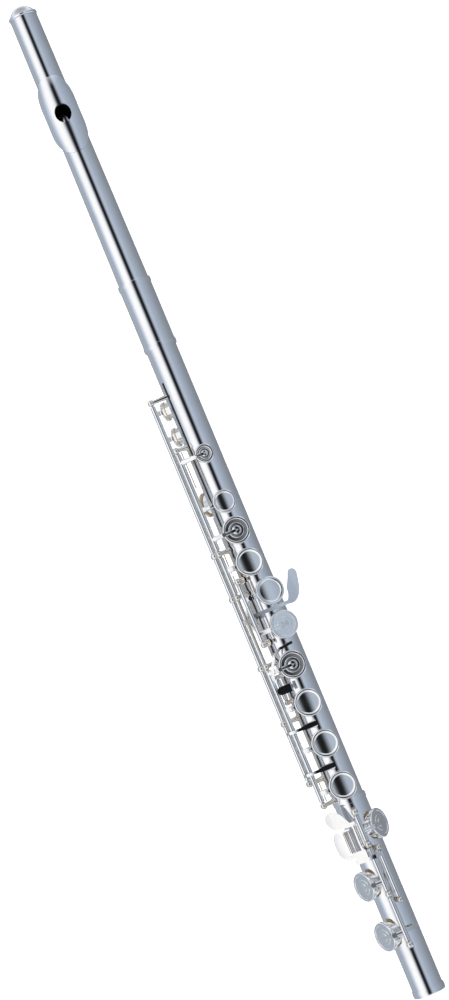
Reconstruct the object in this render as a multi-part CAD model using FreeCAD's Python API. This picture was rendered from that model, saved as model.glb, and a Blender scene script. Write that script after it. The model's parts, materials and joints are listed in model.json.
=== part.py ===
import FreeCAD, Part
import math
import os

# Concert flute, closed-hole, offset G, C foot.  Millimetres.
# X runs along the bore, from the open end of the foot joint to the crown.
# Z is up through the finger keys, Y points to the side that carries the hinge rods.
# The origin is the centre of the foot joint's open end.

# ---- tubes ----
TUBE_R = 9.9            # outer radius of the body and foot tubes
TUBE_WALL = 0.4
FOOT_END_X = 0.0
FOOT_TOP_X = 131.4      # upper end of the foot joint's socket
TENON_FOOT = 12.0       # body tube length inside the foot socket
SOCKET_CLEAR = 0.03
SOCKET_WALL = 0.55
BARREL_LOW_X = 435.4
BARREL_HIGH_X = 480.7
BARREL_WALL = 0.5
BODY_TUBE_END_X = 443.0
HEAD_START_X = 447.0    # lower end of the head joint's tenon
CROWN_X = 662.3         # upper end of the head tube
HEAD_CROWN_R = 8.9      # outer radius of the head tube at the crown
TOTAL_X = 670.0
RING_R = 10.9
RING_WIDTH = 3.6
END_RING_R = 10.6
END_RING_WIDTH = 4.6

# ---- lip plate, riser, crown and stopper ----
EMBOUCHURE_X = 594.4
EMBOUCHURE_LONG = 12.2
EMBOUCHURE_WIDE = 10.4
RISER_WALL = 0.9
PLATE_LONG = 50.0
PLATE_HALF_NEAR = 11.8  # half width towards the rods
PLATE_HALF_FAR = 10.6
PLATE_TOP = 13.4        # height of the plate over the bore axis
PLATE_END_R = 10.65
PLATE_THICK = 1.1
CROWN_BEAD_R = 9.45
CORK_FROM_HOLE = 17.3   # stopper face to the middle of the embouchure hole
CORK_LONG = 13.0
STEM_R = 1.6
STEM_CLEAR = 0.05

# ---- keys ----
CHIMNEY_TOP = 11.6      # height of a tone hole's rim over the bore axis
CHIMNEY_WALL = 0.5
PAD_GAP = 0.15          # pad face over the rim when the key is closed
PAD_THICK = 1.75
CUP_RISE = 0.45         # cup's lower edge above the pad's face
CUP_WALL = 0.45
CUP_TOP = 14.6
BIG_CUP_R = 8.9
SMALL_CUP_R = 6.1
TRILL_CUP_R = 6.2
TOUCH_R = 7.45
FOOT_CUP_R = 9.5
HOLE_SHARE = 0.78       # tone hole radius as a share of its cup's radius
RIM_ROUND = 0.95
DISH_SHARE = 0.72
DISH_SINK = 0.6
DISH_CROWN = 0.12
SIDE_ARM_THICK = 1.3
ARM_ROUND = 0.35
TEARDROP_CROWN_R = 5.0
OPEN_DEG = 4.5          # how far an open key stands from its closed place
ROD_Y = 16.1            # main rod
ROD_Z = 10.5
OUTER_ROD_Y = 19.2      # trill rod
OUTER_ROD_Z = 6.0
HINGE_R = 1.7
STEEL_R = 1.0
RUNNING_FIT = 0.05
END_GAP = 0.3           # free length between neighbours on a rod
POST_R = 1.35
BALL_R = 2.25
LARGE_BALL_EXTRA = 0.35
G_TURN = -18.5          # the G keys sit round towards the player's far side
FOOT_TURN = 58.0        # foot cups sit this far round from the top
FOOT_ROD_R = 17.0
FOOT_SIDE_ROD_Y = -5.2
FOOT_SIDE_ROD_Z = 15.6
BACK_TURN = 128.0       # G sharp and thumb cups, round at the back
TRILL_TURN = 105.0
RIB_HEIGHT = 0.9

# ---- stations along the bore ----
C_SHARP_X = 362.9
C_TOUCH_X = 330.6
B_FLAT_X = 311.2
A_X = 289.9
G_UPPER_X = 268.7
G_LOWER_X = 246.0
G_SHARP_ARM_X = 257.7
G_SHARP_X = 256.0
F_SHARP_X = 221.0
F_X = 195.7
E_X = 168.4
D_X = 140.4
TRILL_D_X = 379.9
TRILL_DS_X = 397.5
THUMB_X = 333.5
E_FLAT_X = 109.8
LOW_CS_X = 76.6
LOW_C_X = 43.4
MAIN_POSTS = [371.1, 301.5, 272.1, 225.7, 132.7]
OUTER_POSTS = [405.1, 301.5, 272.1, 225.7, 188.6, 148.2]
SIDE_LEVER_POSTS = [217.0, 200.0]
SIDE_LEVER_Y = 12.4      # hinge of the B flat side lever
SIDE_LEVER_Z = 8.2
G_POSTS = [280.9, 239.0]
FOOT_POSTS = [122.5, 101.0, 68.1, 34.7]
SIDE_POSTS = [96.9, 62.2]
THUMB_POSTS = [346.5, 298.5]

X_AXIS = FreeCAD.Vector(1, 0, 0)
Z_AXIS = FreeCAD.Vector(0, 0, 1)
ORIGIN = FreeCAD.Vector(0, 0, 0)

os.makedirs("parts", exist_ok=True)


def vec(x, y, z):
    return FreeCAD.Vector(x, y, z)


def rod(radius, x0, x1, y=0.0, z=0.0):
    """A solid round bar along X."""
    return Part.makeCylinder(radius, x1 - x0, vec(x0, y, z), X_AXIS)


def pipe(outer, inner, x0, x1, y=0.0, z=0.0):
    """A tube along X."""
    return rod(outer, x0, x1, y, z).cut(rod(inner, x0 - 1, x1 + 1, y, z))


def turned(shape, degrees):
    """Carry a shape round the bore, from the top towards the rods."""
    copy = shape.copy()
    copy.rotate(ORIGIN, X_AXIS, -degrees)
    return copy


def swung(shape, y, z, degrees):
    """Swing a shape about a rod along X. A positive turn lowers its far side."""
    copy = shape.copy()
    copy.rotate(vec(0, y, z), X_AXIS, degrees)
    return copy


def mirrored(shape):
    return shape.mirror(ORIGIN, vec(0, 1, 0))


def polar(radius, degrees):
    """Y and Z of a point at a radius from the bore, an angle round from the top."""
    angle = math.radians(degrees)
    return radius * math.sin(angle), radius * math.cos(angle)


def outline_face(points, place):
    """A flat face: each step is a (u, v) corner, or (u, v, mid_u, mid_v) for an arc to a corner."""
    edges = []
    here = place(*points[0][:2])
    for step in points[1:] + [points[0][:2]]:
        there = place(*step[:2])
        if len(step) == 4:
            edges.append(Part.Arc(here, place(*step[2:]), there).toShape())
        elif (there - here).Length > 1e-6:
            edges.append(Part.LineSegment(here, there).toShape())
        here = there
    return Part.Face(Part.Wire(edges))


def turned_on_z(points, x):
    """Turn an outline of (radius, height) steps about an upright line at a station."""
    face = outline_face(points, lambda radius, height: vec(x + radius, 0, height))
    return face.revolve(vec(x, 0, 0), Z_AXIS, 360)


def turned_on_x(points):
    """Turn an outline of (radius, station) steps about the bore."""
    face = outline_face(points, lambda radius, station: vec(station, 0, radius))
    return face.revolve(ORIGIN, X_AXIS, 360)


def slab_yz(points, x0, x1):
    """Push an outline in the YZ plane along X."""
    corners = [vec(x0, y, z) for y, z in points]
    wire = Part.makePolygon(corners + corners[:1])
    return Part.Face(wire).extrude(vec(x1 - x0, 0, 0))


def slab_xy(points, z0, z1):
    """Push an outline in the XY plane upwards."""
    corners = [vec(x, y, z0) for x, y in points]
    wire = Part.makePolygon(corners + corners[:1])
    return Part.Face(wire).extrude(vec(0, 0, z1 - z0))


def band(path, thick):
    """The outline of a path that is given a thickness."""
    left = []
    right = []
    last = len(path) - 1
    for index, (u, v) in enumerate(path):
        before = path[max(index - 1, 0)]
        after = path[min(index + 1, last)]
        run_u = after[0] - before[0]
        run_v = after[1] - before[1]
        length = math.hypot(run_u, run_v)
        off_u = -run_v / length * thick / 2
        off_v = run_u / length * thick / 2
        left.append((u + off_u, v + off_v))
        right.append((u - off_u, v - off_v))
    return left + right[::-1]


def strap(path, thick, x0, x1):
    """A bent strap: a path in the YZ plane, given a thickness and a width along X."""
    return slab_yz(band(path, thick), x0, x1)


def fused(shapes):
    """One clean solid from touching shapes."""
    result = shapes[0].multiFuse(shapes[1:]).removeSplitter()
    if len(result.Solids) != 1:
        raise RuntimeError("pieces do not join: %d solids" % len(result.Solids))
    return result.Solids[0]


def write(name, solids):
    """Write one node."""
    shape = solids[0] if len(solids) == 1 else Part.makeCompound(solids)
    shape.exportStep("parts/" + name + ".step")


def ball_post(x, y, z, bore=STEEL_R, lean=0.0, ball=BALL_R, seat=RIB_HEIGHT):
    """A turned post: a stem on the rib, with a ball that takes the rod."""
    foot_y, foot_z = polar(TUBE_R, lean)
    run = vec(0, y - foot_y, z - foot_z)
    start = vec(x, foot_y, foot_z)
    base = RIB_HEIGHT + 0.8
    step = FreeCAD.Vector(run).normalize()
    foot = Part.makeCylinder(POST_R + 0.6, base, start, run)
    stem = Part.makeCone(POST_R + 0.25, POST_R - 0.25, run.Length - base, start + step * base, run)
    globe = Part.makeSphere(ball, vec(x, y, z))
    keep_out = rod(TUBE_R + seat, x - 6, x + 6)
    post = fused([foot, stem, globe]).cut(keep_out)
    return post.cut(rod(bore, x - 5, x + 5, y, z)).Solids[0]


# ---------------------------------------------------------------- key pieces

def dome(radius, low, high):
    """The step that closes an outline at its axis with part of a sphere."""
    rise = high - low
    ball = (radius * radius + rise * rise) / (2 * rise)
    half = math.asin(radius / ball) / 2
    return 0, high, ball * math.sin(half), high - ball + ball * math.cos(half)


def cup_section(radius, stepped):
    """Half outline of a key cup, open underneath for its pad."""
    rim = CHIMNEY_TOP + PAD_GAP + CUP_RISE
    ceiling = CHIMNEY_TOP + PAD_GAP + PAD_THICK + 0.05
    top = CUP_TOP
    wall = radius - CUP_WALL
    inside = [(0, ceiling), (wall, ceiling), (wall, rim), (radius, rim), (radius, top - RIM_ROUND)]
    edge = (radius - RIM_ROUND, top, radius - 0.3 * RIM_ROUND, top - 0.3 * RIM_ROUND)
    if stepped:
        boss = radius * 0.26
        ledge = radius * 0.5
        face = [edge, (radius - 1.4, top), (radius - 2.0, top - 0.45, radius - 1.8, top - 0.12)]
        face += [(ledge + 0.5, top - 0.5), (ledge, top - 0.1, ledge + 0.12, top - 0.35)]
        face += [(boss + 0.6, top - 0.05), (boss, top + 0.35, boss + 0.15, top + 0.05)]
        face += [dome(boss, top + 0.35, top + 0.6)]
        return inside + face
    dish = radius * DISH_SHARE
    face = [edge, (radius - RIM_ROUND - 0.2, top), (dish, top - DISH_SINK, dish + 0.3, top - 0.4)]
    face += [dome(dish, top - DISH_SINK, top + DISH_CROWN)]
    return inside + face


def cup(x, radius, stepped=False):
    return turned_on_z(cup_section(radius, stepped), x)


def touch_cup(x, radius):
    """A finger plate shaped like a cup, solid underneath, with no pad."""
    top = CUP_TOP
    dish = radius * DISH_SHARE
    edge = (radius - RIM_ROUND, top, radius - 0.3 * RIM_ROUND, top - 0.3 * RIM_ROUND)
    outline = [(0, top - 1.9), (radius - 0.8, top - 1.9), (radius, top - RIM_ROUND)]
    outline += [edge, (radius - RIM_ROUND - 0.2, top)]
    outline += [(dish, top - DISH_SINK, dish + 0.3, top - 0.4), dome(dish, top - DISH_SINK, top + DISH_CROWN)]
    return turned_on_z(outline, x)


def pad(x, radius):
    """A felt pad in its skin, with a rounded lower edge."""
    face = CHIMNEY_TOP + PAD_GAP
    reach = radius - CUP_WALL - 0.03
    outline = [(0, face), (reach - 0.45, face), (reach, face + CUP_RISE, reach - 0.13, face + 0.13)]
    outline += [(reach, face + PAD_THICK), (0, face + PAD_THICK)]
    return turned_on_z(outline, x)


def crown_over(x, path, radius, lift=0.0):
    """Round bars whose tops follow a path in the YZ plane. They round off a flat arm."""
    bars = []
    for (y0, z0), (y1, z1) in zip(path, path[1:]):
        along = vec(0, y1 - y0, z1 - z0)
        length = along.Length
        along.normalize()
        sink = vec(0, along.z, -along.y)
        if sink.z > 0:
            sink = sink * -1.0
        start = vec(x, y0, z0) + sink * (radius - lift) - along * radius
        bars.append(Part.makeCylinder(radius, length + 2 * radius, start, along))
    return bars[0].multiFuse(bars[1:])


def side_arm(x, radius, rod_y, rod_z, width=3.4):
    """The arm of a plateau key: from the hinge tube to the side of the cup."""
    rim = radius - 0.3
    rise = [(rod_y - 0.3, rod_z + 0.8), (rod_y - 1.6, rod_z + 2.3)]
    path = rise + [(rim + 1.6, CUP_TOP - 0.9), (rim - 0.1, CUP_TOP - 1.1)]
    flat = strap(path, SIDE_ARM_THICK, x - width / 2, x + width / 2)
    return flat.common(crown_over(x, path, width / 2 + ARM_ROUND, SIDE_ARM_THICK / 2))


def pointed_arm(x, radius, rod_y, rod_z, width=3.6):
    """A long arm that runs over the cup to its middle and ends in a point."""
    top = CUP_TOP + 0.55
    side = [(rod_y + 0.6, rod_z), (rod_y + 0.4, rod_z + 1.6), (radius + 0.6, top + 0.8), (0.8, top + 0.75)]
    side += [(-1.2, top + 0.2), (-1.2, top - 1.1), (radius * 0.48, top - 1.1), (radius * 0.55, top - 0.3)]
    side += [(radius - 0.1, top - 0.2), (radius + 0.5, top - 0.9), (rod_y - 1.4, rod_z - 0.2)]
    plan = [(x - width / 2, rod_y + 2), (x + width / 2, rod_y + 2), (x + width / 2, rod_y - 1.0)]
    plan += [(x + 0.9, radius * 0.35), (x + 1.0, 0.8), (x + 0.25, -1.2)]
    plan += [(x - 0.25, -1.2), (x - 1.0, 0.8), (x - 0.9, radius * 0.35), (x - width / 2, rod_y - 1.0)]
    flat = slab_yz(side, x - width, x + width).common(slab_xy(plan, -5, top + 5))
    return flat.common(crown_over(x, [side[1], side[2], (-3.0, top + 0.8)], width / 2 + ARM_ROUND))


def hinge_tube(x0, x1, y, z, radius=HINGE_R):
    return rod(radius, x0, x1, y, z)


def bored(shape, x0, x1, y, z):
    """Clear the steel's way through a hinge tube."""
    return shape.cut(rod(STEEL_R + RUNNING_FIT, x0 - 2, x1 + 2, y, z)).Solids[0]


def opened(shape, y, z):
    """Stand a key open by the rest angle."""
    return swung(shape, y, z, -OPEN_DEG)


def top_key(name, x, radius, x0, x1, stepped, is_open=True, extra=None, y=ROD_Y, z=ROD_Z, turn=0.0):
    """A key with one cup over the bore, hinged on a rod to its side."""
    arm = pointed_arm(x, radius, y, z) if stepped else side_arm(x, radius, y, z)
    pieces = [hinge_tube(x0, x1, y, z), arm, cup(x, radius, stepped)] + (extra or [])
    key = bored(fused(pieces), x0, x1, y, z)
    cushion = pad(x, radius)
    if is_open:
        key = opened(key, y, z)
        cushion = opened(cushion, y, z)
    write(name, [turned(key, turn)])
    write(name.replace("_key", "") + "_pad", [turned(cushion, turn)])


# ---------------------------------------------------------------- body joint

def chimney_solids(x, hole_r, turn):
    """The raised rim of a tone hole and the hole through it."""
    outer = Part.makeCylinder(hole_r + CHIMNEY_WALL, CHIMNEY_TOP, vec(x, 0, 0), Z_AXIS)
    inner = Part.makeCylinder(hole_r, CHIMNEY_TOP + 2, vec(x, 0, 0), Z_AXIS)
    return turned(outer, turn), turned(inner, turn)


def holed_tube(x0, x1, holes, socket=None):
    """A tube with a rim and a hole at each (x, radius, turn)."""
    shape = rod(TUBE_R, x0, x1)
    if socket:
        shape = shape.fuse(rod(TUBE_R + SOCKET_CLEAR + SOCKET_WALL, socket, x1))
    rims = [chimney_solids(*hole) for hole in holes]
    shape = shape.multiFuse([rim for rim, _ in rims])
    shape = shape.cut(rod(TUBE_R - TUBE_WALL, x0 - 1, x1 + 1))
    for _, hole in rims:
        shape = shape.cut(hole)
    return shape


BODY_HOLES = [
    (C_SHARP_X, SMALL_CUP_R * HOLE_SHARE, 0.0),
    (B_FLAT_X, BIG_CUP_R * HOLE_SHARE, 0.0),
    (A_X, BIG_CUP_R * HOLE_SHARE, 0.0),
    (G_UPPER_X, BIG_CUP_R * HOLE_SHARE, G_TURN),
    (G_LOWER_X, BIG_CUP_R * HOLE_SHARE, G_TURN),
    (F_SHARP_X, BIG_CUP_R * HOLE_SHARE, 0.0),
    (F_X, BIG_CUP_R * HOLE_SHARE, 0.0),
    (E_X, BIG_CUP_R * HOLE_SHARE, 0.0),
    (D_X, BIG_CUP_R * HOLE_SHARE, 0.0),
    (G_SHARP_X, BIG_CUP_R * HOLE_SHARE, BACK_TURN),
    (THUMB_X, BIG_CUP_R * 0.9 * HOLE_SHARE, BACK_TURN),
    (TRILL_D_X, TRILL_CUP_R * HOLE_SHARE, TRILL_TURN),
    (TRILL_DS_X, TRILL_CUP_R * HOLE_SHARE, TRILL_TURN),
]

FOOT_HOLES = [
    (E_FLAT_X, FOOT_CUP_R * HOLE_SHARE, -FOOT_TURN),
    (LOW_CS_X, FOOT_CUP_R * HOLE_SHARE, FOOT_TURN),
    (LOW_C_X, FOOT_CUP_R * HOLE_SHARE, FOOT_TURN),
]


def ring(x, width, radius, inner):
    """A turned ring with a rounded outside."""
    half = width / 2
    land = (radius - inner) * 0.45
    edge = (inner + land, x + half, radius, x)
    return turned_on_x([(inner, x - half), (inner + land, x - half), edge, (inner, x + half)])


def build_body():
    tube_low = FOOT_TOP_X - TENON_FOOT
    write("body_tube", [holed_tube(tube_low, BODY_TUBE_END_X, BODY_HOLES).Solids[0]])
    bore = TUBE_R + SOCKET_CLEAR
    barrel = pipe(bore + BARREL_WALL, bore, BARREL_LOW_X, BARREL_HIGH_X)
    write("barrel", [barrel.cut(rod(TUBE_R, BARREL_LOW_X, BODY_TUBE_END_X)).Solids[0]])
    seat = bore + BARREL_WALL
    ends = [BARREL_LOW_X + RING_WIDTH / 2, BARREL_HIGH_X - RING_WIDTH / 2]
    write("barrel_rings", [ring(x, RING_WIDTH, RING_R, seat) for x in ends])


def rib(x0, x1, low_turn, high_turn):
    """A strip soldered along the tube between two angles round the bore."""
    shell = pipe(TUBE_R + RIB_HEIGHT, TUBE_R, x0, x1)
    reach = 40.0
    wedge_low = polar(reach, low_turn)
    wedge_high = polar(reach, high_turn)
    wedge = slab_yz([(0, 0), wedge_low, wedge_high], x0 - 1, x1 + 1)
    return shell.common(wedge).Solids[0]


def build_ribs():
    keep_clear = BIG_CUP_R * HOLE_SHARE + CHIMNEY_WALL + 0.4
    strip = rib(128.5 + 7.0, 365.0, 56.0, 74.0)
    trill_strip = rib(365.0, 414.0, 50.0, 62.0)
    thumb_strip = rib(295.0, 350.0, 183.0, 197.0)
    main = fused([strip, trill_strip])
    for x, turn in [(G_SHARP_X, BACK_TURN), (THUMB_X, BACK_TURN)]:
        main = main.cut(turned(Part.makeCylinder(keep_clear, 30, vec(x, 0, 0), Z_AXIS), turn))
    write("body_ribs", list(main.Solids) + [thumb_strip])


THUMB_ROD_Y, THUMB_ROD_Z = polar(15.6, BACK_TURN + 58.0)
G_ROD_Y = ROD_Y * math.cos(math.radians(G_TURN)) + ROD_Z * math.sin(math.radians(G_TURN))
G_ROD_Z = ROD_Z * math.cos(math.radians(G_TURN)) - ROD_Y * math.sin(math.radians(G_TURN))


def stem_point(y, z, lean, below):
    """A point on a post's stem, a distance under the rod."""
    foot_y, foot_z = polar(TUBE_R, lean)
    length = math.hypot(y - foot_y, z - foot_z)
    return y - (y - foot_y) / length * below, z - (z - foot_z) / length * below


def body_post_group():
    """Every post on the body joint. Where two rods share a station there is one double post."""
    tube_bore = HINGE_R + RUNNING_FIT
    outer = {}
    for x in OUTER_POSTS:
        last = x in (OUTER_POSTS[0], OUTER_POSTS[-1])
        bore = STEEL_R + RUNNING_FIT if last else tube_bore
        lean = 56.0 if x > 365 else 68.0
        ball = BALL_R if last else BALL_R + LARGE_BALL_EXTRA
        outer[x] = (ball_post(x, OUTER_ROD_Y, OUTER_ROD_Z, bore, lean=lean, ball=ball), bore)
    posts = []
    for x in MAIN_POSTS:
        post = ball_post(x, ROD_Y, ROD_Z, lean=60.0)
        if x in outer:
            other, bore = outer.pop(x)
            post = fused([post, other])
            post = post.cut(rod(bore, x - 5, x + 5, OUTER_ROD_Y, OUTER_ROD_Z))
            post = post.cut(rod(STEEL_R, x - 5, x + 5, ROD_Y, ROD_Z)).Solids[0]
        posts.append(post)
    posts += [post for post, _ in outer.values()]
    posts += [ball_post(x, G_ROD_Y, G_ROD_Z, lean=56.0) for x in G_POSTS]
    posts += [ball_post(x, SIDE_LEVER_Y, SIDE_LEVER_Z, lean=58.0, ball=1.8) for x in SIDE_LEVER_POSTS]
    posts += [ball_post(x, THUMB_ROD_Y, THUMB_ROD_Z, lean=BACK_TURN + 62.0) for x in THUMB_POSTS]
    return posts


def steel_between(posts, y, z):
    """A steel rod that runs through the first and last of a row of posts."""
    tip = 1.2
    return rod(STEEL_R, min(posts) - tip, max(posts) + tip, y, z)


def needle_springs(starts):
    """Needle springs: each is set in a post's stem and lies along a hinge tube."""
    wires = []
    for x, length, y, z, lean in starts:
        wire_y, wire_z = stem_point(y, z, lean, 3.3)
        gap = POST_R + 0.3
        x0, x1 = (x + gap, x + length) if length > 0 else (x + length, x - gap)
        wires.append(rod(0.3, x0, x1, wire_y, wire_z))
    return wires


def build_posts_and_rods():
    write("body_posts", body_post_group())
    rows = [(MAIN_POSTS, ROD_Y, ROD_Z), (G_POSTS, G_ROD_Y, G_ROD_Z)]
    rows += [(SIDE_LEVER_POSTS, SIDE_LEVER_Y, SIDE_LEVER_Z), (THUMB_POSTS, THUMB_ROD_Y, THUMB_ROD_Z)]
    write("hinge_rods", [steel_between(*row) for row in rows])
    main = [(371.1, -26.0), (301.5, -14.0), (132.7, 15.0), (272.1, 14.0)]
    starts = [(x, length, ROD_Y, ROD_Z, 60.0) for x, length in main]
    starts += [(G_POSTS[0], -12.0, G_ROD_Y, G_ROD_Z, 56.0), (G_POSTS[1], 9.0, G_ROD_Y, G_ROD_Z, 56.0)]
    starts += [(THUMB_POSTS[0], -14.0, THUMB_ROD_Y, THUMB_ROD_Z, BACK_TURN + 62.0)]
    write("body_springs", needle_springs(starts))


# ---------------------------------------------------------------- head joint

def head_radius(x):
    """Outer radius of the head tube: a straight tenon, then a slow taper."""
    taper_from = BARREL_HIGH_X + 4.0
    if x <= taper_from:
        return TUBE_R
    share = (x - taper_from) / (CROWN_X - taper_from)
    return TUBE_R + (HEAD_CROWN_R - TUBE_R) * share


def head_shell():
    """The head tube's wall, as a turned shape."""
    stations = [HEAD_START_X, BARREL_HIGH_X + 4.0, CROWN_X]
    outer = [(head_radius(x), x) for x in stations]
    inner = [(head_radius(x) - TUBE_WALL, x) for x in stations]
    return turned_on_x(outer + inner[::-1])


def oval(long, wide, z0, z1):
    """An upright oval block centred on the embouchure hole."""
    ellipse = Part.Ellipse(vec(EMBOUCHURE_X, 0, z0), long / 2, wide / 2)
    return Part.Face(Part.Wire(ellipse.toShape())).extrude(vec(0, 0, z1 - z0))


def plate_body(top, end):
    """A barrel-shaped solid along the bore, high in the middle and low at its ends."""
    half = PLATE_LONG / 2 + 1.0
    low = vec(EMBOUCHURE_X - half, 0, end)
    high = vec(EMBOUCHURE_X + half, 0, end)
    arc = Part.Arc(low, vec(EMBOUCHURE_X, 0, top), high).toShape()
    base = Part.makePolygon([high, vec(high.x, 0, 0), vec(low.x, 0, 0), low])
    return Part.Face(Part.Wire([arc] + base.Edges)).revolve(ORIGIN, X_AXIS, 360)


def plate_outline():
    """The lip plate seen from above: an oval, wider on the side of the rods."""
    half = PLATE_LONG / 2
    left = vec(EMBOUCHURE_X - half, 0, 0)
    right = vec(EMBOUCHURE_X + half, 0, 0)
    edges = []
    for wide in (PLATE_HALF_NEAR, -PLATE_HALF_FAR):
        curve = Part.BSplineCurve()
        points = [left, vec(left.x + 1.3, wide * 0.55, 0), vec(left.x + 6.0, wide * 0.84, 0)]
        points += [vec(EMBOUCHURE_X, wide, 0), vec(right.x - 6.0, wide * 0.84, 0)]
        points += [vec(right.x - 1.3, wide * 0.55, 0), right]
        curve.interpolate(points)
        edges.append(curve.toShape())
    return Part.Face(Part.Wire([edges[0], edges[1]]))


def build_head():
    hole = oval(EMBOUCHURE_LONG, EMBOUCHURE_WIDE, 0, 30)
    seat = oval(EMBOUCHURE_LONG + 2 * RISER_WALL, EMBOUCHURE_WIDE + 2 * RISER_WALL, 0, 30)
    tube = head_shell().cut(hole)
    write("head_tube", [tube.Solids[0]])
    skin = plate_body(PLATE_TOP, PLATE_END_R)
    core = plate_body(PLATE_TOP - PLATE_THICK, PLATE_END_R - PLATE_THICK)
    plan = plate_outline().extrude(vec(0, 0, 40))
    plate = skin.cut(core).common(plan).cut(hole)
    write("lip_plate", [max(plate.Solids, key=lambda solid: solid.Volume)])
    solid_tube = turned_on_x([
        (0, HEAD_START_X),
        (head_radius(HEAD_START_X), HEAD_START_X),
        (head_radius(CROWN_X), CROWN_X),
        (0, CROWN_X),
    ])
    tube_side = rod(head_radius(EMBOUCHURE_X), EMBOUCHURE_X - 12, EMBOUCHURE_X + 12)
    riser = seat.cut(hole).common(core).cut(solid_tube).cut(tube_side)
    write("riser", [max(riser.Solids, key=lambda solid: solid.Volume)])


def build_stopper():
    face = EMBOUCHURE_X + CORK_FROM_HOLE
    disc = 1.0
    bore = head_radius(face + CORK_LONG) - TUBE_WALL - 0.06
    stem_end = CROWN_X + 3.5
    plate = rod(bore, face, face + disc)
    stem = rod(STEM_R, face, stem_end)
    back = rod(bore - 0.6, face + disc + CORK_LONG, face + 2 * disc + CORK_LONG)
    write("stopper_stem", [fused([plate, stem, back])])
    write("stopper_cork", [pipe(bore, STEM_R, face + disc, face + disc + CORK_LONG)])
    plug_r = HEAD_CROWN_R - TUBE_WALL - 0.06
    reach = stem_end + 1.0
    hole = STEM_R + STEM_CLEAR
    bead = CROWN_X + 2.5
    dome_r = CROWN_BEAD_R - 0.9
    seat = CROWN_X + 0.05
    outline = [(0, reach), (hole, reach), (hole, CROWN_X - 9.0), (plug_r, CROWN_X - 9.0), (plug_r, seat)]
    outline += [(dome_r, seat), (dome_r, bead, CROWN_BEAD_R, CROWN_X + 1.27), (dome_r - 0.3, bead)]
    outline += [dome(dome_r - 0.3, bead, TOTAL_X)]
    write("crown", [turned_on_x(outline)])


# ---------------------------------------------------------------- body keys

def between(low_post, high_post):
    """The free stretch of rod between two posts."""
    clear = BALL_R + END_GAP
    return low_post + clear, high_post - clear


def teardrop(x, y_tip, y_head, half, z0, z1):
    """A teardrop finger plate: a round head that narrows to a tip."""
    head = Part.makeCylinder(half, z1 - z0, vec(x, y_head, z0), Z_AXIS)
    side = 0.75
    plan = [(x - half, y_head), (x + half, y_head), (x + side, y_tip), (x - side, y_tip)]
    flat = head.fuse(slab_xy(plan, z0, z1))
    crown = Part.makeCylinder(TEARDROP_CROWN_R, 40, vec(x, -20, z1 - TEARDROP_CROWN_R), vec(0, 1, 0))
    return flat.common(crown)


def build_c_sharp_key():
    low, high = 318.3, MAIN_POSTS[0] - BALL_R - END_GAP
    touch = touch_cup(C_TOUCH_X, TOUCH_R)
    arm = side_arm(C_TOUCH_X, TOUCH_R, ROD_Y, ROD_Z, 3.0)
    top_key("c_sharp_key", C_SHARP_X, SMALL_CUP_R, low, high, True, extra=[touch, arm])


def build_left_hand():
    low, high = between(MAIN_POSTS[1], 318.3 + BALL_R)
    top_key("b_flat_key", B_FLAT_X, BIG_CUP_R, low, high, True)
    low, high = between(MAIN_POSTS[2], MAIN_POSTS[1])
    top_key("a_key", A_X, BIG_CUP_R, low, high, False)
    split_high, split_low = 263.4, 251.2
    top_key_g("g_key", G_UPPER_X, split_high + END_GAP, G_POSTS[0] - BALL_R - END_GAP, False)
    top_key_g("g_lower_key", G_LOWER_X, G_POSTS[1] + BALL_R + END_GAP, split_low - END_GAP, True)
    build_g_sharp(split_low, split_high)


def top_key_g(name, x, x0, x1, stepped):
    """A key of the offset G pair, built upright and carried round the bore."""
    top_key(name, x, BIG_CUP_R, x0, x1, stepped, turn=G_TURN)


def build_g_sharp(x0, x1):
    """The G sharp key: a spoon over the far side, a hinge, and a cup at the back."""
    y, z = G_ROD_Y, G_ROD_Z
    hub = hinge_tube(x0, x1, y, z)
    over = [(y, z + 0.6), (6.0, 15.2), (0.0, 14.2), (-6.0, 13.6), (-11.5, 12.2), (-15.0, 10.2)]
    front = strap(over, 1.6, G_SHARP_ARM_X - 1.15, G_SHARP_ARM_X + 1.15)
    spoon = spoon_solid()
    down = [(y, z), (11.7, 12.0), (14.4, 3.8), (16.2, 0.2), (16.75, -1.5)]
    back = strap(down, 1.6, G_SHARP_X - 1.6, G_SHARP_X + 1.6)
    bowl = turned(cup(G_SHARP_X, BIG_CUP_R), BACK_TURN)
    key = fused([hub, front, spoon, back, bowl])
    write("g_sharp_key", [bored(key, x0, x1, y, z)])
    write("g_sharp_pad", [turned(pad(G_SHARP_X, BIG_CUP_R), BACK_TURN)])


def spoon_solid():
    """The little finger's spoon: a slanting leaf beside the upper G cup."""
    curve = Part.BSplineCurve()
    x = G_SHARP_ARM_X
    outline = [(x - 1.2, -12.6), (x - 1.0, -17.0), (x + 5.0, -21.8), (x + 12.0, -23.6), (x + 18.0, -23.2)]
    outline += [(x + 18.8, -20.6), (x + 14.5, -17.8), (x + 8.0, -14.6), (x + 3.2, -13.6)]
    curve.interpolate([vec(px, py, 6.0) for px, py in outline], PeriodicFlag=True)
    leaf = Part.Face(Part.Wire(curve.toShape())).extrude(vec(0, 0, 12))
    slope = [(-11.0, 12.7), (-16.0, 10.6), (-20.0, 9.0), (-25.0, 7.9)]
    slope += [(-25.0, 6.5), (-20.0, 7.6), (-16.0, 9.2), (-11.0, 11.2)]
    return leaf.common(slab_yz(slope, x - 6, x + 24))


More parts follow.
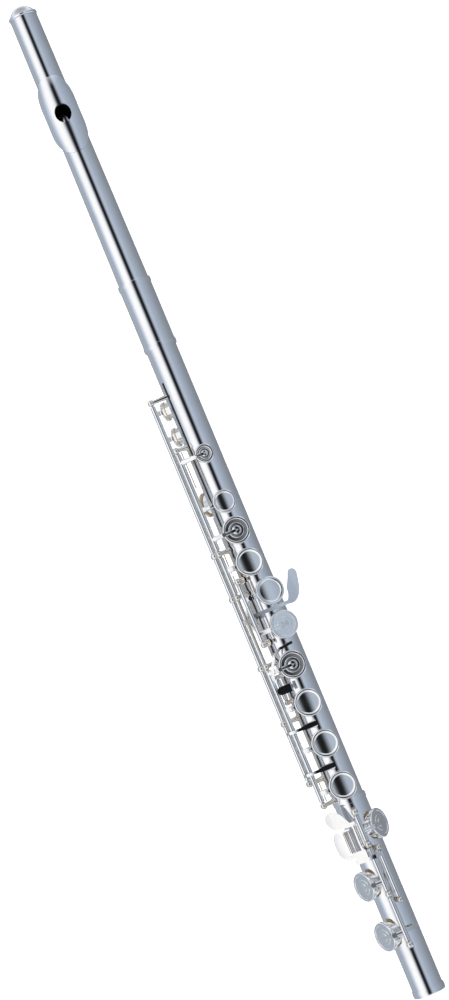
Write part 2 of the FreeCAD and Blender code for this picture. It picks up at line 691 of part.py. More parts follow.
def build_right_hand():
    low_post, high_post = MAIN_POSTS[4], MAIN_POSTS[3]
    stations = [D_X, E_X, F_X, F_SHARP_X]
    low = low_post + BALL_R + END_GAP
    names = ["d_key", "e_key", "f_key"]
    for index, name in enumerate(names):
        high = (stations[index] + stations[index + 1]) / 2 - END_GAP / 2
        top_key(name, stations[index], BIG_CUP_R, low, high, False)
        low = high + END_GAP
    high = high_post - BALL_R - END_GAP
    wire = bridge_wire()
    top_key("f_sharp_key", F_SHARP_X, BIG_CUP_R, low, high, True, extra=[wire])


def bridge_wire():
    """The curved finger that reaches from the F sharp key beside the lower G cup."""
    plan = [(212.5, 16.0), (216.0, 14.7), (223.5, 12.4), (230.0, 8.6), (233.0, 3.6), (234.0, -5.2)]
    side = [(16.6, 10.9), (14.7, 13.0), (12.4, 14.1), (8.6, 14.9), (3.6, 15.1), (-5.6, 14.5)]
    return strap(side, 1.5, 205.0, 240.0).common(slab_xy(band(plan, 1.7), 5.0, 20.0))


def build_side_lever():
    """The B flat side lever, a small plate between the F sharp and F cups."""
    y, z = SIDE_LEVER_Y, SIDE_LEVER_Z
    low, high = between(SIDE_LEVER_POSTS[1], SIDE_LEVER_POSTS[0])
    low -= 0.4
    high += 0.4
    x = 208.4
    hub = hinge_tube(low, high, y, z, 1.45)
    rise = strap([(y, z), (y - 1.6, z + 2.6), (y - 1.9, 13.4), (y - 1.4, 15.0)], 1.3, x - 1.2, x + 1.2)
    outline = [(x - 2.6, 6.4), (x + 2.6, 6.4), (x + 2.6, 13.6)]
    outline += [(x + 1.2, 15.4), (x - 1.2, 15.4), (x - 2.6, 13.6)]
    plate = slab_xy(outline, 14.4, 15.6)
    write("b_flat_side_lever", [bored(fused([hub, rise, plate]), low, high, y, z)])


# ---------------------------------------------------------------- trill keys

def trill_cup_and_arm(x):
    y, z = OUTER_ROD_Y, OUTER_ROD_Z
    bowl = turned(cup(x, TRILL_CUP_R, True), TRILL_TURN)
    tip = polar(CUP_TOP - 0.7, TRILL_TURN)
    edge_angle = TRILL_TURN - math.degrees(math.atan2(TRILL_CUP_R, CUP_TOP - 0.7))
    edge = polar(math.hypot(TRILL_CUP_R, CUP_TOP - 0.7), edge_angle)
    inside = (edge[0] + (tip[0] - edge[0]) * 0.08, edge[1] + (tip[1] - edge[1]) * 0.08)
    return bowl, strap([(y, z), (y - 1.6, z - 1.6), edge, inside], 1.3, x - 1.5, x + 1.5)


def trill_touch(x):
    """A teardrop plate over the bore and the arm that carries it."""
    y, z = OUTER_ROD_Y, OUTER_ROD_Z
    plate = teardrop(x, 11.6, 2.2, 2.5, 14.2, 15.3)
    path = [(y, z + 0.4), (y + 0.4, z + 4.0), (y - 1.0, z + 7.6), (y - 4.0, 15.0), (11.0, 14.85)]
    return [plate, strap(path, 1.3, x - 0.9, x + 0.9)]


def build_trill_keys():
    y, z = OUTER_ROD_Y, OUTER_ROD_Z
    touch_d, touch_ds = 182.0, 154.0
    tube_low, tube_high = touch_d - 4.0, 388.0
    bowl, arm = trill_cup_and_arm(TRILL_D_X)
    tube = hinge_tube(tube_low, tube_high, y, z)
    key = fused([tube, arm, bowl] + trill_touch(touch_d))
    write("d_trill_key", [bored(key, tube_low, tube_high, y, z)])
    write("d_trill_pad", [turned(pad(TRILL_D_X, TRILL_CUP_R), TRILL_TURN)])
    first, last = OUTER_POSTS[0], OUTER_POSTS[-1]
    bowl, arm = trill_cup_and_arm(TRILL_DS_X)
    shaft = rod(STEEL_R, last - 1.5, first + 1.5, y, z)
    hubs = [hinge_tube(tube_high + END_GAP, first - BALL_R - END_GAP, y, z)]
    hubs += [hinge_tube(last + BALL_R + END_GAP, tube_low - END_GAP, y, z)]
    write("d_sharp_trill_key", [fused([shaft, arm, bowl] + hubs + trill_touch(touch_ds))])
    write("d_sharp_trill_pad", [turned(pad(TRILL_DS_X, TRILL_CUP_R), TRILL_TURN)])


# ---------------------------------------------------------------- thumb keys

def build_thumb_keys():
    """The thumb key and the lever beside it, on a rod along the back."""
    y, z = THUMB_ROD_Y, THUMB_ROD_Z
    radius = BIG_CUP_R * 0.9
    low, high = between(THUMB_POSTS[1], THUMB_POSTS[0])
    split = 311.0
    local_y, local_z = polar(15.6, 58.0)
    arm = side_arm(THUMB_X, radius, local_y, local_z)
    bowl = cup(THUMB_X, radius)
    key_top = turned(fused([arm, bowl]), BACK_TURN)
    paddle = thumb_paddle(318.3, 6.2)
    key = bored(fused([hinge_tube(split, high, y, z), key_top, paddle]), split, high, y, z)
    write("thumb_key", [swung(key, y, z, -OPEN_DEG * 0.8)])
    cushion = turned(pad(THUMB_X, radius), BACK_TURN)
    write("thumb_pad", [swung(cushion, y, z, -OPEN_DEG * 0.8)])
    lever = bored(fused([hinge_tube(low, split - END_GAP, y, z), thumb_paddle(305.9, 4.5)]), low, split, y, z)
    write("thumb_b_flat_lever", [swung(lever, y, z, -OPEN_DEG * 0.8)])


def thumb_paddle(x, half):
    """A curved plate for the thumb, beside the hinge."""
    y, z = THUMB_ROD_Y, THUMB_ROD_Z
    path = [(y, z), polar(15.4, 176.0), polar(14.4, 166.0)]
    path += [polar(14.0, 154.0), polar(14.2, 142.0), polar(15.0, 134.0)]
    return strap(path, 1.2, x - half, x + half)


# ---------------------------------------------------------------- foot joint

FOOT_ROD = (0.0, FOOT_ROD_R)
SIDE_ROD = (FOOT_SIDE_ROD_Y, FOOT_SIDE_ROD_Z)


def build_foot():
    socket_start = FOOT_TOP_X - TENON_FOOT - 1.0
    tube = holed_tube(FOOT_END_X, FOOT_TOP_X, FOOT_HOLES, socket=socket_start)
    tube = tube.cut(rod(TUBE_R + SOCKET_CLEAR, FOOT_TOP_X - TENON_FOOT, FOOT_TOP_X + 1))
    write("foot_tube", [tube.Solids[0]])
    socket_r = TUBE_R + SOCKET_CLEAR + SOCKET_WALL
    write("foot_socket_ring", [ring(FOOT_TOP_X - RING_WIDTH / 2, RING_WIDTH, RING_R, socket_r)])
    write("foot_end_ring", [ring(END_RING_WIDTH / 2, END_RING_WIDTH, END_RING_R, TUBE_R)])
    strip = rib(30.0, 126.5, -7.0, 7.0).cut(rod(socket_r, socket_start, FOOT_TOP_X))
    for x, hole_r, turn in FOOT_HOLES:
        gap = Part.makeCylinder(hole_r + CHIMNEY_WALL + 0.2, 30, vec(x, 0, 0), Z_AXIS)
        strip = strip.cut(turned(gap, turn))
    write("foot_rib", [strip.Solids[0]])
    posts = [ball_post(x, *FOOT_ROD) for x in FOOT_POSTS]
    side_lean = math.degrees(math.atan2(FOOT_SIDE_ROD_Y, FOOT_SIDE_ROD_Z)) - 4.0
    posts += [ball_post(x, *SIDE_ROD, lean=side_lean, ball=1.9, seat=0.0) for x in SIDE_POSTS]
    write("foot_posts", posts)
    write("foot_rods", [steel_between(FOOT_POSTS, *FOOT_ROD), steel_between(SIDE_POSTS, *SIDE_ROD)])
    starts = [(FOOT_POSTS[0], -14.0, *FOOT_ROD, 0.0), (FOOT_POSTS[1], -12.0, *FOOT_ROD, 0.0)]
    starts += [(FOOT_POSTS[3], 14.0, *FOOT_ROD, 0.0)]
    write("foot_springs", needle_springs(starts))


def foot_top_key(x, x0, x1, extra, facing):
    """A foot key under the top rod. Facing is -1 for the far side and 1 for the near side."""
    local_y, local_z = polar(FOOT_ROD_R, FOOT_TURN)
    top = fused([pointed_arm(x, FOOT_CUP_R, local_y, local_z, 3.2), cup(x, FOOT_CUP_R, True)])
    cushion = pad(x, FOOT_CUP_R)
    if facing > 0:
        top = mirrored(top)
        cushion = mirrored(cushion)
    top = turned(top, FOOT_TURN * facing)
    cushion = turned(cushion, FOOT_TURN * facing)
    key = bored(fused([hinge_tube(x0, x1, *FOOT_ROD), top] + extra), x0, x1, *FOOT_ROD)
    return key, cushion


def paddle(outline, slope, thick):
    """A finger plate: a plan outline bent down over the side of the tube."""
    curve = Part.BSplineCurve()
    curve.interpolate([vec(px, py, 0) for px, py in outline], PeriodicFlag=True)
    leaf = Part.Face(Part.Wire(curve.toShape())).extrude(vec(0, 0, 30))
    xs = [px for px, _ in outline]
    return leaf.common(strap(slope, thick, min(xs) - 2, max(xs) + 2))


def build_e_flat_key():
    low, high = between(FOOT_POSTS[1], FOOT_POSTS[0])
    arm = strap([(0.0, FOOT_ROD_R), (2.6, 17.6), (5.0, 16.6), (7.4, 15.4)], 1.5, 115.6, 117.6)
    outline = [(116.0, 4.6), (118.4, 6.0), (124.0, 9.0), (127.4, 14.0)]
    outline += [(125.6, 18.4), (120.4, 18.8), (116.4, 16.0), (115.4, 10.0)]
    slope = [(4.0, 17.2), (7.0, 15.8), (11.0, 14.1), (15.0, 12.0), (20.0, 8.8)]
    plate = paddle(outline, slope, 1.3)
    key, cushion = foot_top_key(E_FLAT_X, low, high, [arm, plate], -1)
    write("e_flat_key", [key])
    write("e_flat_pad", [cushion])


def build_low_keys():
    low, high = between(FOOT_POSTS[2], FOOT_POSTS[1])
    arm = strap([(0.0, FOOT_ROD_R), (3.0, 14.8), (7.5, 12.3), (12.2, 11.0), (15.2, 9.3)], 1.5, 95.4, 97.8)
    outline = [(96.6, 13.0), (101.5, 13.0), (108.0, 13.0), (113.2, 13.4)]
    outline += [(113.8, 15.8), (109.4, 18.2), (102.0, 18.4), (97.0, 15.8)]
    slope = [(11.6, 11.3), (13.6, 10.4), (16.0, 8.8), (19.4, 6.0)]
    plate = paddle(outline, slope, 1.2)
    key, cushion = foot_top_key(LOW_CS_X, low, high, [arm, plate], 1)
    write("low_c_sharp_key", [swung(key, *FOOT_ROD, OPEN_DEG)])
    write("low_c_sharp_pad", [swung(cushion, *FOOT_ROD, OPEN_DEG)])
    low, high = between(FOOT_POSTS[3], FOOT_POSTS[2])
    drop = [(0.0, FOOT_ROD_R), (-3.4, 15.6), (-6.6, 12.9), (-9.6, 9.4)]
    tail = strap(drop, 1.1, LOW_C_X - 1.2, LOW_C_X + 1.2)
    key, cushion = foot_top_key(LOW_C_X, low, high, [tail], 1)
    write("low_c_key", [swung(key, *FOOT_ROD, OPEN_DEG)])
    write("low_c_pad", [swung(cushion, *FOOT_ROD, OPEN_DEG)])


ROLLER_R = 1.25
ROLLER_PIN_R = 0.5
ROLLERS = [("inner_roller", 8.0, 17.3), ("outer_roller", 11.0, 15.9)]
ROLLER_X = (99.8, 113.2)


def build_roller_lever():
    """The low C lever on its own rod, with a bracket that holds two rollers."""
    y, z = SIDE_ROD
    low, high = between(SIDE_POSTS[1], SIDE_POSTS[0])
    hub = hinge_tube(low, high, y, z)
    path = [(y, z), (y + 0.6, z + 2.6), (-1.6, 20.3), (2.6, 20.4), (6.4, 18.6), (9.4, 17.0), (11.2, 16.0)]
    arm = strap(path, 1.5, high - 2.6, high - 0.2)
    cheek = strap(path[3:], 1.6, 98.0, 99.4)
    link = strap(path[3:6], 1.5, high - 0.4, 98.4)
    end = strap([(7.0, 17.8), (9.4, 16.7), (11.4, 15.7)], 1.6, 113.6, 114.6)
    pins = [rod(ROLLER_PIN_R, 98.6, 114.2, py, pz) for _, py, pz in ROLLERS]
    lever = bored(fused([hub, arm, cheek, link, end] + pins), low, high, y, z)
    write("low_c_lever", [lever])
    for name, py, pz in ROLLERS:
        write(name, [pipe(ROLLER_R, ROLLER_PIN_R + RUNNING_FIT, ROLLER_X[0], ROLLER_X[1], py, pz)])


build_body()
build_ribs()
build_posts_and_rods()
build_head()
build_stopper()
build_c_sharp_key()
build_left_hand()
build_right_hand()
build_side_lever()
build_trill_keys()
build_thumb_keys()
build_foot()
build_e_flat_key()
build_low_keys()
build_roller_lever()
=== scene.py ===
import json
import math

import bmesh
import bpy
import numpy
from mathutils import Matrix, Vector


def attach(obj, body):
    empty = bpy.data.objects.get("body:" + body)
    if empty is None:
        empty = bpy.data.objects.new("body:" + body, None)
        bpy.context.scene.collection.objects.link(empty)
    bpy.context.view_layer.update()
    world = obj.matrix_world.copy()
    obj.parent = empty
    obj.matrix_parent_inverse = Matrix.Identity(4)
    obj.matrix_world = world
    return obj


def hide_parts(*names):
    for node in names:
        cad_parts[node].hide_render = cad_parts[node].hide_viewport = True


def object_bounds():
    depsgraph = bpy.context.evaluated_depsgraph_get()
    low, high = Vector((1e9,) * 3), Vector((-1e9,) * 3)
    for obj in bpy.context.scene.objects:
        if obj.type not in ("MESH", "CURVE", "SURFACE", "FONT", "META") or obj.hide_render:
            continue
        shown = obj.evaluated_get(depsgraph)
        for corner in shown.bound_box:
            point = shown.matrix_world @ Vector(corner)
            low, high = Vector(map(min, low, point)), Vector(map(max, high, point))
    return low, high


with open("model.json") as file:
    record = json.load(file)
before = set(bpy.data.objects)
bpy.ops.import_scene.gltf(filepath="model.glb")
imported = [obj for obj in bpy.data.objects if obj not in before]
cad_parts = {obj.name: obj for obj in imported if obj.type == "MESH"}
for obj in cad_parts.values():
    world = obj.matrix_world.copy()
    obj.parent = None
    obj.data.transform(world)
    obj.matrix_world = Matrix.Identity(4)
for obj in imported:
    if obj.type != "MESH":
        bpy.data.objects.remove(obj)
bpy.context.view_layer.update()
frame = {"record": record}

# The flute lies with its keys up.  X runs to the crown, Y to the hinge rods, Z up.
# All lengths are in metres.
MM = 0.001
FLUTE_MIDDLE_X = 0.33
BODY_NODES = frame["record"]["behaviour"]["bodies"]
NODE_BODY = {node: body for body, nodes in BODY_NODES.items() for node in nodes}
NODE_SLOT = {row["node"]: row["material_slot"] for row in frame["record"]["subparts"]}


# ---------------------------------------------------------------- camera

CAMERA_DISTANCE = 1.6
CAMERA_TILT = math.radians(2.53)
CAMERA_ROLL = math.radians(22.64)
CAMERA_TARGET = Vector((0.3319, 0.0, 0.0))
LENS_MM = 91.9


def aim_camera():
    """A long lens over the middle of the flute, a little nearer its foot."""
    tilt, roll = CAMERA_TILT, CAMERA_ROLL
    back = Vector((-math.sin(tilt), 0.0, math.cos(tilt)))
    along = Vector((math.cos(tilt), 0.0, math.sin(tilt)))
    across = Vector((0.0, 1.0, 0.0))
    right = -math.sin(roll) * along - math.cos(roll) * across
    up = math.cos(roll) * along - math.sin(roll) * across
    place = Matrix((right, up, back)).transposed().to_4x4()
    place.translation = CAMERA_TARGET + back * CAMERA_DISTANCE
    camera = bpy.data.objects.new("camera", bpy.data.cameras.new("camera"))
    bpy.context.scene.collection.objects.link(camera)
    camera.matrix_world = place
    camera.data.lens = LENS_MM
    camera.data.clip_start = 0.01
    camera.data.clip_end = 20.0
    bpy.context.scene.camera = camera


aim_camera()


# ---------------------------------------------------------------- materials

def new_group(name, inputs, outputs):
    """An empty node group with number inputs and typed outputs."""
    tree = bpy.data.node_groups.new(name, "ShaderNodeTree")
    for label, value in inputs:
        socket = tree.interface.new_socket(label, in_out="INPUT", socket_type="NodeSocketFloat")
        socket.default_value = value
    for label, kind in outputs:
        tree.interface.new_socket(label, in_out="OUTPUT", socket_type=kind)
    source = tree.nodes.new("NodeGroupInput")
    sink = tree.nodes.new("NodeGroupOutput")
    return tree, source, sink


def polish_group():
    """Fine wiping scratches and dull finger smudges on a polished face."""
    tree, source, sink = new_group(
        "polish", [("smudge size", 60.0), ("scratch size", 900.0)],
        [("smudge", "NodeSocketFloat"), ("scratch", "NodeSocketFloat")])
    place = tree.nodes.new("ShaderNodeTexCoord")
    cloud = tree.nodes.new("ShaderNodeTexNoise")
    cloud.inputs["Detail"].default_value = 4.0
    cloud.inputs["Roughness"].default_value = 0.6
    tree.links.new(place.outputs["Object"], cloud.inputs["Vector"])
    tree.links.new(source.outputs["smudge size"], cloud.inputs["Scale"])
    soft = tree.nodes.new("ShaderNodeMapRange")
    soft.inputs["From Min"].default_value = 0.42
    soft.inputs["From Max"].default_value = 0.72
    tree.links.new(cloud.outputs["Fac"], soft.inputs["Value"])
    stretch = tree.nodes.new("ShaderNodeMapping")
    stretch.inputs["Scale"].default_value = (0.25, 1.0, 1.0)
    tree.links.new(place.outputs["Object"], stretch.inputs["Vector"])
    hair = tree.nodes.new("ShaderNodeTexNoise")
    hair.inputs["Detail"].default_value = 6.0
    tree.links.new(stretch.outputs["Vector"], hair.inputs["Vector"])
    tree.links.new(source.outputs["scratch size"], hair.inputs["Scale"])
    tree.links.new(soft.outputs["Result"], sink.inputs["smudge"])
    tree.links.new(hair.outputs["Fac"], sink.inputs["scratch"])
    return tree


POLISH = polish_group()


SCRATCH_STRENGTH = 0.02
SCRATCH_DEPTH = 0.02 * MM
GRAIN_STRENGTH = 0.5


def metal(name, colour, stain, rough, rough_smudge, smudge_size=60.0):
    """Polished metal: a clean colour, a stain in the smudges, and fine scratches."""
    material = bpy.data.materials.new(name)
    material.use_nodes = True
    nodes, links = material.node_tree.nodes, material.node_tree.links
    shader = nodes["Principled BSDF"]
    shader.inputs["Metallic"].default_value = 1.0
    wear = nodes.new("ShaderNodeGroup")
    wear.node_tree = POLISH
    wear.inputs["smudge size"].default_value = smudge_size
    tint = nodes.new("ShaderNodeMix")
    tint.data_type = "RGBA"
    tint.inputs["A"].default_value = (*colour, 1.0)
    tint.inputs["B"].default_value = (*stain, 1.0)
    links.new(wear.outputs["smudge"], tint.inputs["Factor"])
    links.new(tint.outputs["Result"], shader.inputs["Base Color"])
    gloss = nodes.new("ShaderNodeMapRange")
    gloss.inputs["To Min"].default_value = rough
    gloss.inputs["To Max"].default_value = rough_smudge
    links.new(wear.outputs["smudge"], gloss.inputs["Value"])
    links.new(gloss.outputs["Result"], shader.inputs["Roughness"])
    relief = nodes.new("ShaderNodeBump")
    relief.inputs["Strength"].default_value = SCRATCH_STRENGTH
    relief.inputs["Distance"].default_value = SCRATCH_DEPTH
    links.new(wear.outputs["scratch"], relief.inputs["Height"])
    links.new(relief.outputs["Normal"], shader.inputs["Normal"])
    return material


def matt(name, colour, stain, rough, grain, depth):
    """Felt skin or cork: mottled colour with a fine grain."""
    material = bpy.data.materials.new(name)
    material.use_nodes = True
    nodes, links = material.node_tree.nodes, material.node_tree.links
    shader = nodes["Principled BSDF"]
    shader.inputs["Roughness"].default_value = rough
    place = nodes.new("ShaderNodeTexCoord")
    cells = nodes.new("ShaderNodeTexNoise")
    cells.inputs["Scale"].default_value = grain
    cells.inputs["Detail"].default_value = 6.0
    links.new(place.outputs["Object"], cells.inputs["Vector"])
    tint = nodes.new("ShaderNodeMix")
    tint.data_type = "RGBA"
    tint.inputs["A"].default_value = (*colour, 1.0)
    tint.inputs["B"].default_value = (*stain, 1.0)
    links.new(cells.outputs["Fac"], tint.inputs["Factor"])
    links.new(tint.outputs["Result"], shader.inputs["Base Color"])
    relief = nodes.new("ShaderNodeBump")
    relief.inputs["Strength"].default_value = GRAIN_STRENGTH
    relief.inputs["Distance"].default_value = depth
    links.new(cells.outputs["Fac"], relief.inputs["Height"])
    links.new(relief.outputs["Normal"], shader.inputs["Normal"])
    return material


TUBE_SILVER = metal("tube silver", (0.93, 0.93, 0.94), (0.88, 0.88, 0.90), 0.05, 0.09)
KEY_SILVER = metal("key silver", (0.93, 0.925, 0.92), (0.87, 0.86, 0.85), 0.06, 0.12, 120.0)
WORK_SILVER = metal("mechanism silver", (0.92, 0.89, 0.85), (0.70, 0.60, 0.50), 0.10, 0.2, 160.0)
STEEL = metal("rod steel", (0.70, 0.68, 0.65), (0.52, 0.48, 0.43), 0.16, 0.28, 300.0)
GOLD = metal("spring gold", (0.86, 0.66, 0.33), (0.62, 0.42, 0.2), 0.18, 0.3, 400.0)
PAD_SKIN = matt("pad skin", (0.74, 0.55, 0.26), (0.56, 0.36, 0.14), 0.5, 900.0, 0.05 * MM)
CORK = matt("cork", (0.62, 0.43, 0.25), (0.38, 0.24, 0.12), 0.85, 700.0, 0.1 * MM)

SLOT_MATERIAL = {
    "silver": WORK_SILVER, "steel": STEEL, "spring_gold": GOLD, "brass": GOLD, "pad_skin": PAD_SKIN, "cork": CORK,
}
NODE_MATERIAL = {
    "body_tube": TUBE_SILVER, "foot_tube": TUBE_SILVER, "head_tube": TUBE_SILVER, "barrel": TUBE_SILVER,
    "barrel_rings": TUBE_SILVER, "foot_socket_ring": TUBE_SILVER, "foot_end_ring": TUBE_SILVER,
    "lip_plate": TUBE_SILVER, "crown": TUBE_SILVER, "riser": TUBE_SILVER,
}
for node_name in NODE_BODY:
    if node_name.endswith("_key") or node_name.endswith("_lever"):
        NODE_MATERIAL[node_name] = KEY_SILVER


# ---------------------------------------------------------------- pieces

SHARP_EDGE = math.radians(32.0)
JOIN_DISTANCE = 0.001 * MM


def finish_piece(bm, name, body, material, node):
    """Make a mesh an object that takes its node's place on a body, smooth but for its sharp edges."""
    for face in bm.faces:
        face.smooth = True
    for edge in bm.edges:
        if edge.is_manifold and edge.calc_face_angle(0.0) > SHARP_EDGE:
            edge.smooth = False
    mesh = bpy.data.meshes.new(name)
    bm.to_mesh(mesh)
    bm.free()
    piece = bpy.data.objects.new(name, mesh)
    bpy.context.scene.collection.objects.link(piece)
    mesh.materials.append(material)
    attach(piece, body)
    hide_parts(node)
    return piece


# Round skins that must mirror cleanly: an axis along X as (y, z), and its radii, all in mm.
BORE = (0.0, 0.0)
MAIN_ROD = (16.1, 10.5)
KEY_TUBE = (1.7, 1.0)
ROLLER = (1.25,)
ROD_LINES = {
    MAIN_ROD: KEY_TUBE,
    (19.2, 6.0): KEY_TUBE,
    (12.4, 8.2): (1.45, 1.0),
    (11.936, 15.066): KEY_TUBE,
    (0.0, 17.0): KEY_TUBE,
    (-5.2, 15.6): KEY_TUBE,
    (-1.631, -15.515): KEY_TUBE,
    (8.0, 17.3): ROLLER,
    (11.0, 15.9): ROLLER,
}
# A face belongs to a round skin when its corners are this near the radius and it faces along the spoke.
SKIN_REACH = 0.04 * MM
SKIN_LEAN = math.cos(math.radians(30.0))


def straighten_normals(mesh, lines):
    """Give round skins their true normals, so that they mirror cleanly."""
    points = numpy.empty(len(mesh.vertices) * 3)
    mesh.vertices.foreach_get("co", points)
    points = points.reshape(-1, 3)
    corners = numpy.empty(len(mesh.loops), dtype=int)
    mesh.loops.foreach_get("vertex_index", corners)
    normals = numpy.empty(len(mesh.loops) * 3)
    mesh.corner_normals.foreach_get("vector", normals)
    normals = normals.reshape(-1, 3, 3)
    faces = numpy.empty(len(mesh.polygons) * 3)
    mesh.polygons.foreach_get("normal", faces)
    faces = faces.reshape(-1, 3)
    for (axis_y, axis_z), radii in lines.items():
        spokes = points[:, 1:] - numpy.array((axis_y, axis_z)) * MM
        lengths = numpy.hypot(spokes[:, 0], spokes[:, 1])
        units = spokes / numpy.maximum(lengths, 1e-9)[:, None]
        for radius in radii:
            near = (abs(lengths - radius * MM) < SKIN_REACH)[corners].reshape(-1, 3).all(axis=1)
            middle = units[corners].reshape(-1, 3, 2)
            side = (faces[:, None, 1:] * middle).sum(axis=2).mean(axis=1)
            chosen = near & (abs(side) > SKIN_LEAN)
            normals[chosen, :, 0] = 0.0
            normals[chosen, :, 1:] = middle[chosen] * numpy.sign(side[chosen])[:, None, None]
    mesh.normals_split_custom_set(normals.reshape(-1, 3).tolist())


# Plateau cups in mm: place along the bore and radius.
PLATEAUS = {
    "c_sharp_key": (330.6, 7.45),
    "a_key": (289.9, 8.9),
    "f_key": (195.7, 8.9),
    "e_key": (168.4, 8.9),
    "d_key": (140.4, 8.9),
}
# The dish in a plateau's top: height of the cup's top when closed, the share of the radius that is
# dished, how far the dish is sunk at its edge, and how far its middle stands above the top.
CUP_TOP = 14.6
DISH_SHARE = 0.72
DISH_SINK = 0.6
DISH_CROWN = 0.12
DISH_REACH = 0.02 * MM
FACES_UP = 0.8
REST_ANGLE = math.radians(4.5)
DISH_LEAN = math.radians(8.5)


def lean_dish(mesh, x, radius):
    """Shade a plateau's crowned dish as one sphere that leans a little away from the rods."""
    reach = radius * DISH_SHARE
    rise = DISH_SINK + DISH_CROWN
    ball = (reach * reach + rise * rise) / (2.0 * rise)
    rod_y, rod_z = MAIN_ROD
    middle_y, middle_z = -rod_y, CUP_TOP + DISH_CROWN - ball - rod_z
    turn = Matrix.Rotation(-REST_ANGLE, 3, "X")
    middle = (turn @ Vector((0.0, middle_y, middle_z)) + Vector((x, rod_y, rod_z))) * MM
    lean = Matrix.Rotation(DISH_LEAN, 3, "X")
    normals = [Vector(corner.vector) for corner in mesh.corner_normals]
    for face in mesh.polygons:
        spokes = [mesh.vertices[mesh.loops[loop].vertex_index].co - middle for loop in face.loop_indices]
        on_ball = all(abs(spoke.length - ball * MM) < DISH_REACH for spoke in spokes)
        if on_ball and face.normal.z > FACES_UP:
            for loop, spoke in zip(face.loop_indices, spokes):
                normals[loop] = lean @ spoke.normalized()
    mesh.normals_split_custom_set(normals)


def refined(node, radii=()):
    """The node's own shape with its triangles joined and shaded as one skin."""
    bm = bmesh.new()
    bm.from_mesh(bpy.data.objects[node].data)
    bmesh.ops.remove_doubles(bm, verts=bm.verts, dist=JOIN_DISTANCE)
    slot_name = NODE_SLOT[node]
    material = NODE_MATERIAL.get(node, SLOT_MATERIAL[slot_name])
    piece = finish_piece(bm, node + "_skin", NODE_BODY[node], material, node)
    straighten_normals(piece.data, {BORE: radii} if radii else ROD_LINES)
    if node in PLATEAUS:
        lean_dish(piece.data, *PLATEAUS[node])


TUBE_RADII = {"body_tube": (9.9, 9.5), "foot_tube": (9.9, 9.5, 10.48), "barrel": (10.43, 9.93)}
for node_name in sorted(NODE_BODY):
    refined(node_name, TUBE_RADII.get(node_name, ()))


# ---------------------------------------------------------------- floor and light

FLOOR_HALF = 6.0
FLOOR_GAP = 0.2 * MM
PAPER_GLOW = 0.55
LAMP_SIDE = 3.0
LAMP_WATTS = 75.0
LAMP_HEIGHT = 2.6


def lay_floor():
    """A sheet of white paper, lit from below, that the silver doesn't mirror."""
    bm = bmesh.new()
    bmesh.ops.create_grid(bm, x_segments=2, y_segments=2, size=FLOOR_HALF)
    bmesh.ops.translate(bm, verts=bm.verts, vec=(FLUTE_MIDDLE_X, 0.0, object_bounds()[0].z - FLOOR_GAP))
    mesh = bpy.data.meshes.new("floor")
    bm.to_mesh(mesh)
    bm.free()
    floor = bpy.data.objects.new("floor", mesh)
    bpy.context.scene.collection.objects.link(floor)
    paper = bpy.data.materials.new("paper")
    paper.use_nodes = True
    shader = paper.node_tree.nodes["Principled BSDF"]
    shader.inputs["Base Color"].default_value = (0.96, 0.96, 0.96, 1.0)
    shader.inputs["Roughness"].default_value = 0.9
    shader.inputs["Emission Color"].default_value = (1.0, 1.0, 1.0, 1.0)
    shader.inputs["Emission Strength"].default_value = PAPER_GLOW
    mesh.materials.append(paper)
    floor.visible_glossy = False


# The tent seen from the bore's axis: degrees from overhead towards the rods, brightness, coolness.
TENT_STOPS = [
    (-180, 0.24, 0.5), (-115, 0.28, 0.6), (-90, 0.33, 0.8), (-70, 0.39, 0.9), (-45, 0.47, 1.0), (-30, 0.55, 1.0),
    (-20, 0.52, 0.9), (-13, 0.25, 0.7), (-7, 0.03, 0.6), (0, 0.008, 0.5), (7, 0.03, 0.6), (13, 0.26, 0.5),
    (20, 0.72, 0.3), (28, 0.98, 0.1), (40, 1.08, 0.0), (56, 1.05, 0.0), (66, 0.92, 0.2), (76, 0.72, 0.7),
    (88, 0.54, 1.0), (100, 0.44, 0.9), (116, 0.46, 0.6), (150, 0.40, 0.5), (180, 0.24, 0.5),
]
# The two ends of the tent: how far a direction leans along the bore, brightness, share of the mix.
END_STOPS = [
    (0.0, 1.0, 0.0), (0.5, 1.0, 0.0), (0.66, 1.0, 0.75), (0.8, 0.85, 0.9), (0.92, 0.5, 0.95), (1.0, 0.4, 1.0),
]
END_COOLNESS = 0.4


def cool_light(level, cool, alpha=1.0):
    """A grey of this level, turned towards blue as coolness goes from 0 to 1."""
    return (level * (1.0 - 0.16 * cool), level * (1.0 - 0.02 * cool), level * (1.0 + 0.18 * cool), alpha)


def fill_ramp(ramp, stops):
    """Set a colour ramp's stops from (place, brightness, coolness, alpha)."""
    elements = ramp.color_ramp.elements
    while len(elements) < len(stops):
        elements.new(0.5)
    for element, (place, level, cool, alpha) in zip(elements, stops):
        element.position = place
        element.color = cool_light(level, cool, alpha)


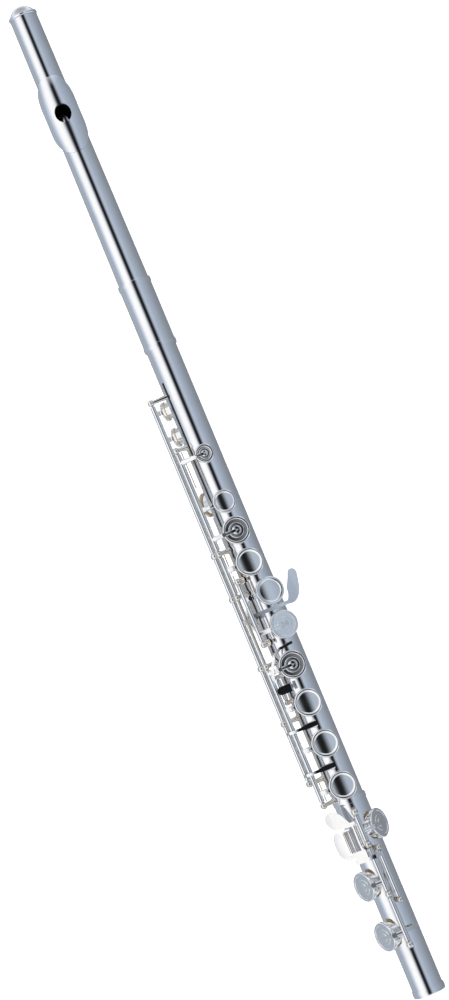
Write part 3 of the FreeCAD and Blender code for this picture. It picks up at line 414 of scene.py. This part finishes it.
def light_studio():
    """A white tent on the side of the rods, a grey-blue wall on the other, a dark slot overhead."""
    world = bpy.data.worlds.new("tent")
    bpy.context.scene.world = world
    world.use_nodes = True
    nodes, links = world.node_tree.nodes, world.node_tree.links
    back = nodes["Background"]
    place = nodes.new("ShaderNodeTexCoord")
    split = nodes.new("ShaderNodeSeparateXYZ")
    links.new(place.outputs["Generated"], split.inputs["Vector"])
    angle = nodes.new("ShaderNodeMath")
    angle.operation = "ARCTAN2"
    links.new(split.outputs["Y"], angle.inputs[0])
    links.new(split.outputs["Z"], angle.inputs[1])
    share = nodes.new("ShaderNodeMapRange")
    share.inputs["From Min"].default_value = -math.pi
    share.inputs["From Max"].default_value = math.pi
    links.new(angle.outputs["Value"], share.inputs["Value"])
    ramp = nodes.new("ShaderNodeValToRGB")
    links.new(share.outputs["Result"], ramp.inputs["Fac"])
    fill_ramp(ramp, [(0.5 + degrees / 360.0, level, cool, 1.0) for degrees, level, cool in TENT_STOPS])
    along = nodes.new("ShaderNodeMath")
    along.operation = "ABSOLUTE"
    links.new(split.outputs["X"], along.inputs[0])
    end = nodes.new("ShaderNodeValToRGB")
    fill_ramp(end, [(at, level, END_COOLNESS, mask) for at, level, mask in END_STOPS])
    links.new(along.outputs["Value"], end.inputs["Fac"])
    close = nodes.new("ShaderNodeMix")
    close.data_type = "RGBA"
    links.new(end.outputs["Alpha"], close.inputs["Factor"])
    links.new(ramp.outputs["Color"], close.inputs["A"])
    links.new(end.outputs["Color"], close.inputs["B"])
    links.new(close.outputs["Result"], back.inputs["Color"])
    lamp = bpy.data.lights.new("ceiling", "AREA")
    lamp.shape = "RECTANGLE"
    lamp.size = LAMP_SIDE
    lamp.size_y = LAMP_SIDE
    lamp.energy = LAMP_WATTS
    ceiling = bpy.data.objects.new("ceiling", lamp)
    ceiling.location = (FLUTE_MIDDLE_X, 0.0, LAMP_HEIGHT)
    ceiling.visible_glossy = False
    bpy.context.scene.collection.objects.link(ceiling)
    bpy.context.scene.view_settings.view_transform = "Standard"


lay_floor()
light_studio()
